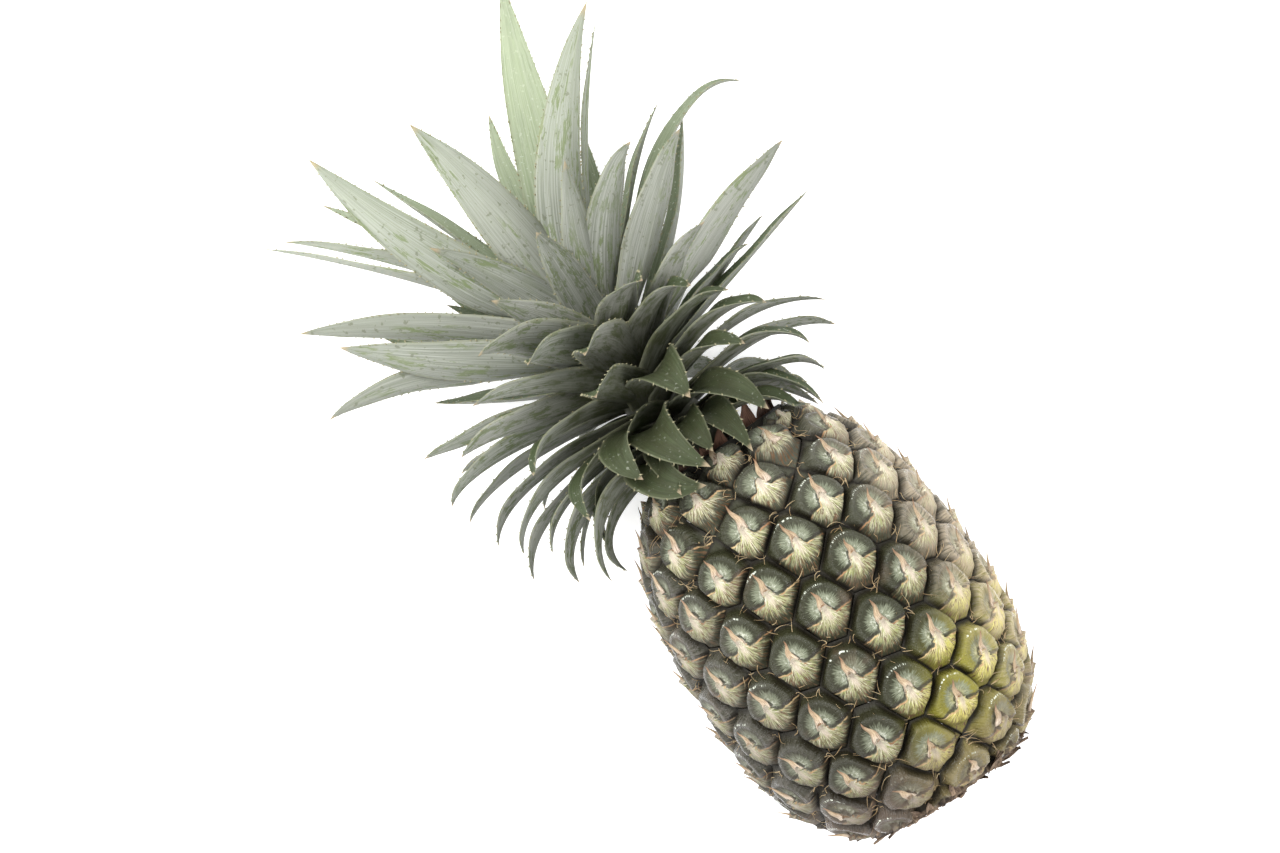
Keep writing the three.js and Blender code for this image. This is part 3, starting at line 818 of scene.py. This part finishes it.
def dry_bracts(name, count, seed, foot, tip, width):
    """A ring of papery bracts. foot and tip say how far along the axis and how far out they lie."""
    chance = np.random.default_rng(seed)
    growth = Growth()
    outline = np.linspace(-1, 1, BRACT_ACROSS)
    lines = [(c, 0.0) for c in outline] + [(c, 1.0) for c in outline[::-1]]
    t = np.linspace(0, 1, BRACT_STATIONS)[:, None]
    for i in range(count):
        turn = LAP * (i + chance.uniform(0.1, 0.9)) / count
        radial = np.array([0, -math.sin(turn), math.cos(turn)])
        aside = np.array([0, math.cos(turn), math.sin(turn)])
        reach = chance.uniform(0.6, 1.15)
        along = foot[0] + chance.uniform(-1, 1) + (tip[0] - foot[0]) * reach * t
        outward = foot[1] + (tip[1] - foot[1]) * chance.uniform(0.4, 1.2) * t ** 1.5
        middle = np.array([1, 0, 0]) * along + radial * outward + aside * chance.uniform(-5, 5) * t * t
        half = width / 2 * chance.uniform(0.7, 1.2) * (1 - t ** 1.7) + 0.1
        face_up = unit(np.cross(np.gradient(middle, axis=0), aside))
        angle = chance.normal(0, 0.4) * t
        across = aside * np.cos(angle) + face_up * np.sin(angle)
        tone = chance.random()
        for c, face in lines:
            body = BRACT_THICKNESS * face * (1 - 0.9 * c * c)
            cup = 0.35 * half * c * c + body + 0.4 * np.sin(7 * t + 5 * c + i)
            growth.line(middle + across * half * c + face_up * cup, c, t[:, 0], [tone] * 3)
        growth.close_strand(len(lines), BRACT_STATIONS)
    piece = growth.piece(name)
    return piece


# Materials
class Nodes:
    """A short way to write a material's nodes."""

    def __init__(self, name):
        self.material = bpy.data.materials.new(name)
        self.material.use_nodes = True
        self.tree = self.material.node_tree
        self.tree.nodes.clear()

    def set(self, socket, value):
        """Links a socket to another node's output, or gives it a number, place or colour."""
        if isinstance(value, bpy.types.NodeSocket):
            self.tree.links.new(value, socket)
        elif isinstance(value, tuple) and len(value) == 3 and len(socket.default_value) == 4:
            socket.default_value = (*value, 1)
        else:
            socket.default_value = value

    def node(self, kind, inputs, output=0, **settings):
        """Output of a new node, whose inputs are given by their number or name."""
        node = self.tree.nodes.new("ShaderNode" + kind)
        for name, setting in settings.items():
            setattr(node, name, setting)
        for key, value in inputs.items():
            self.set(node.inputs[key], value)
        return node.outputs[output]

    def math(self, operation, a, b=0.0):
        return self.node("Math", {0: a, 1: b}, operation=operation)

    def plus(self, a, b):
        return self.math("ADD", a, b)

    def minus(self, a, b):
        return self.math("SUBTRACT", a, b)

    def times(self, a, b):
        return self.math("MULTIPLY", a, b)

    def size(self, a):
        return self.math("ABSOLUTE", a)

    def near(self, place, centre, far, close):
        """One within the close distance of a point, and zero past the far one."""
        apart = self.node("VectorMath", {0: place, 1: centre}, "Value", operation="DISTANCE")
        return self.ramp(apart, far, close)

    def ramp(self, value, low, high, start=0.0, end=1.0):
        """A soft step from start to end while the value goes from low to high."""
        inputs = {0: value, 1: low, 2: high, 3: start, 4: end}
        return self.node("MapRange", inputs, interpolation_type="SMOOTHSTEP")

    def mix(self, factor, a, b):
        """Colour a where the factor is zero, and b where it is one."""
        return self.node("Mix", {0: factor, 6: a, 7: b}, 2, data_type="RGBA")

    def noise(self, vector, scale, detail=3.0, rough=0.55):
        inputs = {"Vector": vector, "Scale": scale, "Detail": detail, "Roughness": rough}
        return self.node("TexNoise", inputs)

    def uv(self, name):
        return self.split(self.node("UVMap", {}, uv_map=name))

    def colour(self, name):
        return self.split(self.node("VertexColor", {}, layer_name=name))

    def split(self, vector):
        return self.node("SeparateXYZ", {0: vector}, slice(0, 3))

    def join(self, x, y, z):
        return self.node("CombineXYZ", {0: x, 1: y, 2: z})

    def place(self):
        return self.node("TexCoord", {}, "Object")

    def solid(self, colour, roughness, bump, bump_mm, specular=0.5):
        """A surface with a colour, a roughness and fine relief."""
        relief = self.node("Bump", {"Strength": 1.0, "Distance": bump_mm * MM, "Height": bump})
        return self.node("BsdfPrincipled", {
            "Base Color": colour, "Roughness": roughness, "Normal": relief,
            "Specular IOR Level": specular,
        })

    def lit_through(self, surface, colour):
        """A thin surface that also lets some light through, in a colour of its own."""
        back = self.node("BsdfTranslucent", {"Color": colour})
        return self.node("MixShader", {0: LIGHT_THROUGH, 1: surface, 2: back})

    def finish(self, surface):
        """The finished material, with this surface."""
        self.set(self.tree.nodes.new("ShaderNodeOutputMaterial").inputs[0], surface)
        return self.material


def eye_values(n):
    """Where a point lies in its eye, and the noises that the rind's colours share."""
    x, y, _ = n.uv("eye")
    tone, q, _ = n.colour("tone")
    place = n.place()
    r = n.math("SQRT", n.plus(n.times(x, x), n.times(y, y)))
    from_below = n.math("ARCTAN2", x, n.times(y, -1))

    # how far above the bract's free edge
    side = n.size(x)
    drop = n.times(n.ramp(side, 0.06, 0.26), -0.36)
    wing = n.times(n.ramp(side, 0.3, 1), n.times(n.math("COSINE", n.times(tone, 20)), 0.1))
    edge = n.plus(n.plus(drop, wing), 0.1)
    waver = n.noise(n.join(n.times(x, 3), n.times(tone, 60), 0), 2, 3)
    above = n.plus(n.minus(y, edge), n.times(n.minus(waver, 0.5), 0.12))

    def rays(around, outward, own, scale):
        spot = n.join(n.times(from_below, around), n.times(r, outward), n.times(tone, own))
        return n.noise(spot, scale, 4)

    return SimpleNamespace(
        x=x, q=q, r=r, tone=tone, place=place, side=side, from_below=from_below,
        waver=waver, above=above, sepal_part=n.ramp(above, -0.025, 0.035),
        away=n.plus(r, n.times(n.minus(q, r), n.ramp(q, 0.75, 1))),
        streak=rays(5, 1.2, 40, 2.6),
        ray=rays(9, 2, 70, 2.4),
        fuzz=n.noise(place, 900, 4, 0.7),
        blotch=n.noise(place, 60, 4),
        patch=n.noise(n.join(n.times(tone, 90), n.times(tone, 37), 0), 1, 0),
    )


def rind_zones(n, e):
    """The fruit's own zones: yellow near the base, pinkish beside it, grey-brown opposite; also a darker
    part on the grey side of the base half.
    """
    px, py, _ = n.split(e.place)
    yellow = n.near(e.place, RIPE_PLACE, 0.068, 0.044)
    return SimpleNamespace(
        yellow=n.times(yellow, n.ramp(n.plus(e.patch, n.times(e.blotch, 0.5)), 0.36, 0.62)),
        upper=n.ramp(n.minus(px, n.times(py, 0.6)), -0.07, 0),
        pink=n.ramp(py, -0.04, -0.072),
        grey=n.ramp(py, 0.012, 0.044),
        brown=n.ramp(n.plus(px, n.times(e.blotch, 0.03)), -0.128, -0.152),
        dim=n.times(n.ramp(px, -0.08, -0.135), n.ramp(py, -0.025, 0.01)),
        end_face=n.ramp(px, (BASE_X + 2.2) * MM, (BASE_X + 1.2) * MM),
    )


def bract_colour(n, e, zone, dark):
    """Lower half of an eye, the bract's foot: pale in the middle, with green and brown rays."""
    yellow = zone.yellow
    middle = n.mix(yellow, n.mix(zone.upper, (0.25, 0.245, 0.13), (0.4, 0.38, 0.25)), (0.46, 0.41, 0.11))
    pale = n.mix(yellow, n.mix(zone.upper, (0.66, 0.61, 0.47), (0.8, 0.74, 0.59)), (0.64, 0.57, 0.32))
    green = n.mix(yellow, (0.19, 0.23, 0.04), (0.44, 0.4, 0.06))
    fade = n.plus(e.r, n.times(n.minus(e.streak, 0.5), 1.1))
    bract = n.mix(n.ramp(fade, 0.13, 0.54), pale, middle)
    bract = n.mix(n.ramp(fade, 0.45, 0.86), bract, dark)
    bract = n.mix(n.times(n.ramp(e.ray, 0.52, 0.6), n.ramp(e.r, 0.8, 0.3)), bract, green)
    brown_ray = n.times(n.ramp(e.ray, 0.47, 0.41), n.ramp(e.r, 0.15, 0.45))
    bract = n.mix(brown_ray, bract, (0.09, 0.05, 0.022))
    hair = n.noise(n.join(n.times(e.from_below, 30), e.r, n.times(e.tone, 20)), 1.6, 2)
    bract = n.mix(n.times(n.ramp(hair, 0.6, 0.66), n.ramp(e.r, 0.95, 0.5)), bract, pale)
    column = n.times(n.ramp(e.side, 0.13, 0.03), n.ramp(e.r, 0.58, 0.25))
    return n.mix(n.times(column, 0.65), bract, (0.56, 0.46, 0.38))


def sepal_colour(n, e, zone, dark):
    """Upper half of an eye: a mealy hollow with a dark rim."""
    spread = n.plus(e.away, n.times(n.minus(e.ray, 0.5), 0.6))
    mealy = n.mix(n.ramp(e.fuzz, 0.4, 0.66), (0.21, 0.23, 0.15), (0.66, 0.68, 0.57))
    ripe = n.mix(e.fuzz, (0.22, 0.21, 0.05), (0.5, 0.46, 0.22))
    mealy = n.mix(n.times(zone.yellow, 0.7), mealy, ripe)
    edge = n.mix(e.fuzz, (0.09, 0.105, 0.06), (0.27, 0.29, 0.21))
    sepal = n.mix(n.ramp(spread, 0.16, 0.4), mealy, edge)
    return n.mix(n.ramp(spread, 0.36, 0.56), sepal, dark)


def dry_margin(n, e, skin):
    """Adds the bract's tan dry margin, broken in places, with its shadow above it."""
    broken = n.ramp(n.noise(e.place, 240, 2), 0.38, 0.56)
    line = n.ramp(n.size(n.plus(e.above, 0.03)), 0.034, 0.008)
    line = n.times(line, n.times(broken, n.ramp(e.q, 1, 0.9)))
    shade = n.ramp(n.size(n.minus(e.above, 0.05)), 0.09, 0.02)
    skin = n.mix(n.times(shade, 0.8), skin, (0.016, 0.013, 0.008))
    dry = n.mix(n.ramp(e.blotch, 0.4, 0.6), (0.52, 0.37, 0.19), (0.26, 0.13, 0.06))
    return n.mix(line, skin, dry)


def weathering_and_groove_shade(n, e, zone, skin):
    """Adds the zones, the blotches, painted shade in the grooves and the base's bark."""
    skin = n.mix(n.times(zone.pink, n.ramp(e.streak, 0.35, 0.6, 0.15, 0.55)), skin, (0.6, 0.49, 0.35))
    skin = n.mix(n.times(zone.grey, n.ramp(e.streak, 0.35, 0.6, 0.55, 0.15)), skin, (0.13, 0.115, 0.1))
    skin = n.mix(n.times(n.ramp(e.blotch, 0.55, 0.7), 0.45), skin, (0.1, 0.07, 0.045))
    brown = n.mix(e.streak, (0.035, 0.022, 0.016), (0.21, 0.15, 0.11))
    skin = n.mix(n.times(zone.brown, 0.6), skin, brown)
    skin = n.mix(n.times(zone.dim, 0.24), skin, (0.014, 0.008, 0.006))
    # painted shade: each eye darkens almost to black toward its groove
    groove_start = n.minus(0.9, n.times(e.sepal_part, 0.14))
    groove = n.ramp(n.plus(e.q, n.times(n.minus(e.blotch, 0.5), 0.2)), groove_start, 0.99)
    skin = n.mix(groove, skin, (0.012, 0.01, 0.006))
    wrinkle = n.noise(e.place, 160, 6, 0.7)
    bark = n.mix(n.ramp(wrinkle, 0.4, 0.62), (0.03, 0.02, 0.014), (0.2, 0.145, 0.095))
    return n.mix(zone.end_face, skin, bark)


def painted_rim_glints(n, e, bead_bump_and_glint, skin):
    """Adds painted highlights: small pale glints in an arc along the rim of some eyes."""
    ring = n.ramp(n.size(n.minus(e.away, n.plus(0.66, n.times(e.waver, 0.12)))), 0.034, 0.018)
    arc = n.ramp(n.size(n.plus(e.x, n.minus(0.15, n.times(e.tone, 0.5)))), 0.42, 0.3)
    lit = n.times(n.times(ring, n.ramp(bead_bump_and_glint, 0.5, 0.58)), n.times(arc, n.ramp(e.above, 0.15, 0.3)))
    lit = n.times(lit, n.ramp(e.patch, 0.55, 0.45))
    return n.mix(n.times(lit, 0.75), skin, (0.72, 0.76, 0.64))


def rind_material():
    n = Nodes("rind")
    e = eye_values(n)
    zone = rind_zones(n, e)
    plain_dark = n.mix(zone.upper, (0.023, 0.024, 0.01), (0.062, 0.062, 0.042))
    dark = n.mix(zone.yellow, plain_dark, (0.17, 0.155, 0.02))
    skin = n.mix(e.sepal_part, bract_colour(n, e, zone, dark), sepal_colour(n, e, zone, dark))
    skin = weathering_and_groove_shade(n, e, zone, dry_margin(n, e, skin))

    # the upper half's rim is glossier than the rest
    rim = n.times(e.sepal_part, n.times(n.ramp(e.away, 0.55, 0.66), n.ramp(e.away, 0.97, 0.88)))
    rough = n.minus(0.65, n.times(rim, 0.42))
    # one noise gives the rim both its bead bumps and its painted glints
    bead_bump_and_glint = n.noise(n.join(n.times(e.from_below, 6), n.times(e.tone, 30), 0), 2.4, 1)
    skin = painted_rim_glints(n, e, bead_bump_and_glint, skin)
    bump = n.plus(n.times(e.fuzz, 0.5), n.plus(e.streak, n.times(n.times(bead_bump_and_glint, rim), 0.6)))
    return n.finish(n.solid(skin, rough, bump, 0.8, specular=0.3))


def leaf_values(n):
    """Where a point lies on its leaf, and the noises that the leaf's colours share."""
    c, t, _ = n.uv("blade")
    tone, face, height = n.colour("tone")
    shift = n.times(tone, 50)

    def grain(across, along, scale, detail, rough=0.55):
        return n.noise(n.join(n.times(c, across), n.times(t, along), shift), scale, detail, rough)

    tall = n.ramp(height, 0.35, 0.85)
    rub = grain(2.2, 5, 1.5, 7, 0.72)
    worn = n.noise(n.join(n.times(c, 0.7), n.times(t, 2.6), n.plus(shift, 9)), 1.2, 1)
    rubbed = n.times(n.ramp(rub, 0.52, 0.545), n.ramp(grain(9, 12, 1.4, 4), 0.38, 0.46))
    return SimpleNamespace(
        c=c, t=t, tone=tone, face=face, tall=tall, rub=rub,
        stripe=grain(9, 0.8, 2.2, 3),
        fine=grain(60, 3, 1.6, 2),
        far=n.ramp(n.split(n.place())[0], 0.06, 0.16),
        rubbed=n.times(rubbed, n.ramp(worn, 0.44, 0.56, n.ramp(tall, 1, 0.4, 0, 0.8), 1)),
    )


def outer_face(n, v):
    """The outer face has a pale bloom, rubbed off in dark green marks."""
    own = n.noise(n.join(n.times(v.tone, 31), n.times(v.tone, 17), 0), 1, 0)
    far_dark = n.mix(v.far, (0.22, 0.235, 0.195), (0.3, 0.325, 0.265))
    far_pale = n.mix(v.far, (0.36, 0.375, 0.325), (0.45, 0.47, 0.41))
    bloom_dark = n.mix(v.tall, (0.155, 0.165, 0.13), far_dark)
    bloom_pale = n.mix(v.tall, (0.3, 0.315, 0.27), far_pale)
    outer = n.mix(n.ramp(v.stripe, 0.4, 0.6), bloom_dark, bloom_pale)
    brownish = n.mix(v.far, (0.31, 0.305, 0.28), (0.48, 0.49, 0.44))
    outer = n.mix(n.ramp(own, 0.35, 0.65, 0, 0.45), outer, brownish)
    outer = n.mix(n.ramp(v.fine, 0.45, 0.7, 0, 0.35), outer, (0.5, 0.52, 0.47))
    outer = n.mix(n.ramp(v.fine, 0.44, 0.36, 0, 0.45), outer, (0.16, 0.175, 0.12))
    bare = n.mix(v.tall, (0.075, 0.095, 0.035), (0.2, 0.25, 0.11))
    outer = n.mix(n.times(v.rubbed, 0.85), outer, bare)
    fleck = n.ramp(n.noise(n.place(), 420, 2), 0.63, 0.68)
    return n.mix(n.times(fleck, 0.6), outer, (0.1, 0.11, 0.06))


def inner_face(n, v):
    """The inner face is greener and shows pale specks."""
    dark = n.mix(v.tall, (0.04, 0.062, 0.022), n.mix(v.far, (0.14, 0.18, 0.09), (0.36, 0.42, 0.28)))
    pale = n.mix(v.tall, (0.1, 0.135, 0.06), n.mix(v.far, (0.26, 0.3, 0.2), (0.48, 0.53, 0.4)))
    inner = n.mix(n.ramp(v.stripe, 0.35, 0.65), dark, pale)
    speck = n.ramp(n.noise(n.place(), 700, 1), 0.66, 0.72)
    return n.mix(n.times(speck, 0.7), inner, (0.6, 0.64, 0.52))


def leaf_material():
    n = Nodes("leaf")
    v = leaf_values(n)
    colour = n.mix(v.face, outer_face(n, v), inner_face(n, v))

    # painted shade, darker toward each leaf's root and round the crown's heart, then a pale margin and a
    # dry tip
    colour = n.mix(n.times(n.ramp(v.t, 0.36, 0.02), 0.75), colour, (0.1, 0.1, 0.065))
    heart_shade = n.near(n.place(), CROWN_HEART, 0.066, 0.024)
    heart_shade = n.times(heart_shade, n.ramp(v.rub, 0.42, 0.56, 0.55, 0.85))
    colour = n.mix(heart_shade, colour, (0.06, 0.064, 0.032))
    margin = n.ramp(n.size(v.c), 0.86, 0.98)
    colour = n.mix(n.times(margin, 0.28), colour, (0.46, 0.47, 0.3))
    dry_tip = n.ramp(n.plus(v.t, n.times(v.rub, 0.04)), 0.965, 1)
    colour = n.mix(dry_tip, colour, (0.5, 0.4, 0.26))

    through = n.mix(v.tall, (0.15, 0.17, 0.1), n.mix(v.far, (0.3, 0.34, 0.2), (0.52, 0.58, 0.38)))
    through = n.mix(n.times(v.rubbed, 0.6), through, (0.12, 0.17, 0.04))
    bump = n.plus(v.stripe, n.times(v.fine, 0.6))
    return n.finish(n.lit_through(n.solid(colour, 0.5, bump, 0.3, specular=0.35), through))


def bract_material():
    n = Nodes("dry_bract")
    c, t, _ = n.uv("blade")
    tone, _, _ = n.colour("tone")
    grain = n.noise(n.join(n.times(c, 5), n.times(t, 2), n.times(tone, 40)), 2, 3)
    colour = n.mix(n.ramp(t, 0.1, 0.5), (0.5, 0.42, 0.33), (0.42, 0.32, 0.2))
    colour = n.mix(n.ramp(t, 0.55, 0.95), colour, (0.26, 0.14, 0.07))
    colour = n.mix(n.ramp(grain, 0.45, 0.62, 0, 0.8), colour, (0.14, 0.07, 0.035))
    return n.finish(n.solid(colour, 0.75, grain, 0.3))


def papery_material(name, light, dark):
    """Dry growth with long veins, between a light and a dark colour."""
    n = Nodes(name)
    c, t, _ = n.uv("blade")
    tone, _, _ = n.colour("tone")
    vein = n.noise(n.join(n.times(c, 6), n.times(t, 1.5), n.times(tone, 40)), 2.4, 3)
    colour = n.mix(n.ramp(n.plus(vein, n.times(n.minus(tone, 0.5), 0.3)), 0.35, 0.65), light, dark)
    return n.finish(n.solid(colour, 0.75, vein, 0.3, specular=0.3))


def stalk_material():
    n = Nodes("cut_stalk")
    px, py, pz = n.split(n.place())
    fibre = n.noise(n.join(n.times(px, 0.2), py, pz), 600, 4, 0.6)
    colour = n.mix(n.ramp(fibre, 0.35, 0.65), (0.2, 0.13, 0.07), (0.52, 0.4, 0.25))
    return n.finish(n.solid(colour, 0.9, fibre, 0.8))


def floor_material():
    n = Nodes("floor")
    return n.finish(n.node("BsdfPrincipled", {
        "Base Color": (0.93, 0.93, 0.93), "Roughness": 0.8,
        "Emission Color": (1, 1, 1), "Emission Strength": FLOOR_GLOW,
    }))


# Studio
def floor():
    bpy.ops.mesh.primitive_plane_add(size=FLOOR_WIDTH, location=(0, 0, -FLOOR_BELOW))
    plane = bpy.context.object
    plane.name = "floor"
    dress(plane, floor_material())


def soft_light(name, place, width, power):
    """A round light that faces the origin."""
    light = bpy.data.lights.new(name, "AREA")
    light.shape = "DISK"
    light.size = width
    light.energy = power
    lamp = bpy.data.objects.new(name, light)
    lamp.location = place
    x, y, z = place
    lamp.rotation_euler = (math.atan2(math.hypot(x, y), z), 0, math.atan2(x, -y))
    bpy.context.scene.collection.objects.link(lamp)


def lights():
    for light in LIGHTS:
        soft_light(*light)
    world = bpy.data.worlds.new("studio")
    world.use_nodes = True
    sky = world.node_tree.nodes["Background"]
    sky.inputs["Color"].default_value = (1, 1, 1, 1)
    sky.inputs["Strength"].default_value = SKY_STRENGTH
    bpy.context.scene.world = world


def camera():
    """The photograph's viewpoint, straight above the part."""
    data = bpy.data.cameras.new("camera")
    data.lens = CAMERA_LENS
    data.sensor_width = SENSOR_WIDTH
    eye = bpy.data.objects.new("camera", data)
    along, side, above = BASE_X + CAMERA_ALONG, AXIS_Y + CAMERA_SIDE, AXIS_HEIGHT + CAMERA_ABOVE
    eye.location = (along * MM, side * MM, above * MM)
    eye.rotation_euler = (0, 0, math.radians(CAMERA_TURN))
    bpy.context.scene.collection.objects.link(eye)
    bpy.context.scene.camera = eye


# The pieces and what they look like
def dress(piece, look):
    piece.data.materials.append(look)


def dress_fruit(cells, corners):
    dress(fruit_skin(cells, corners), rind_material())
    dress(bract_tips(cells), bract_material())


def dress_crown():
    leaves = all_leaves()
    leaf_look = leaf_material()
    dress(crown_leaves(leaves), leaf_look)
    dress(crown_stem(), leaf_look)
    dress(leaf_spines(leaves), papery_material("spine", (0.34, 0.33, 0.2), (0.2, 0.16, 0.09)))


def dress_dry_growth(cells, corners):
    """Threads in the grooves, and rings of bracts at the neck, round the base and the stalk."""
    fibre_look = papery_material("fibre", (0.62, 0.48, 0.28), (0.42, 0.28, 0.14))
    dress(rind_fibres(cells, corners), fibre_look)
    neck_look = papery_material("neck_bract", (0.13, 0.065, 0.04), (0.04, 0.022, 0.015))
    neck_foot, neck_tip = (FRUIT_LENGTH - 6, 24), (FRUIT_LENGTH + 10, 30)
    dress(dry_bracts("neck_bracts", 26, 3, neck_foot, neck_tip, 11), neck_look)
    base_look = papery_material("base_bract", (0.28, 0.2, 0.135), (0.07, 0.045, 0.03))
    base_radius = float(radius_at(0))
    for name, count, foot, tip, width in (
        ("base_rim_bracts", 34, (0, base_radius - 3), (6, base_radius + 4), 7),
        ("base_bracts", 26, (1, STALK_RADIUS + 9), (-1, base_radius), 9),
        ("stalk_bracts", 15, (1, STALK_RADIUS), (-3, STALK_RADIUS + 12), 8),
    ):
        dress(dry_bracts(name, count, count, foot, tip, width), base_look)


def dress_stalk():
    """The cut stalk keeps its own solid."""
    look = stalk_material()
    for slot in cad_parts["cut_stalk"].material_slots:
        slot.material = look


cells, corners = eye_cells()
dress_fruit(cells, corners)
dress_crown()
dress_dry_growth(cells, corners)
dress_stalk()
camera()
lights()
floor()
bpy.context.scene.view_settings.view_transform = "Standard"
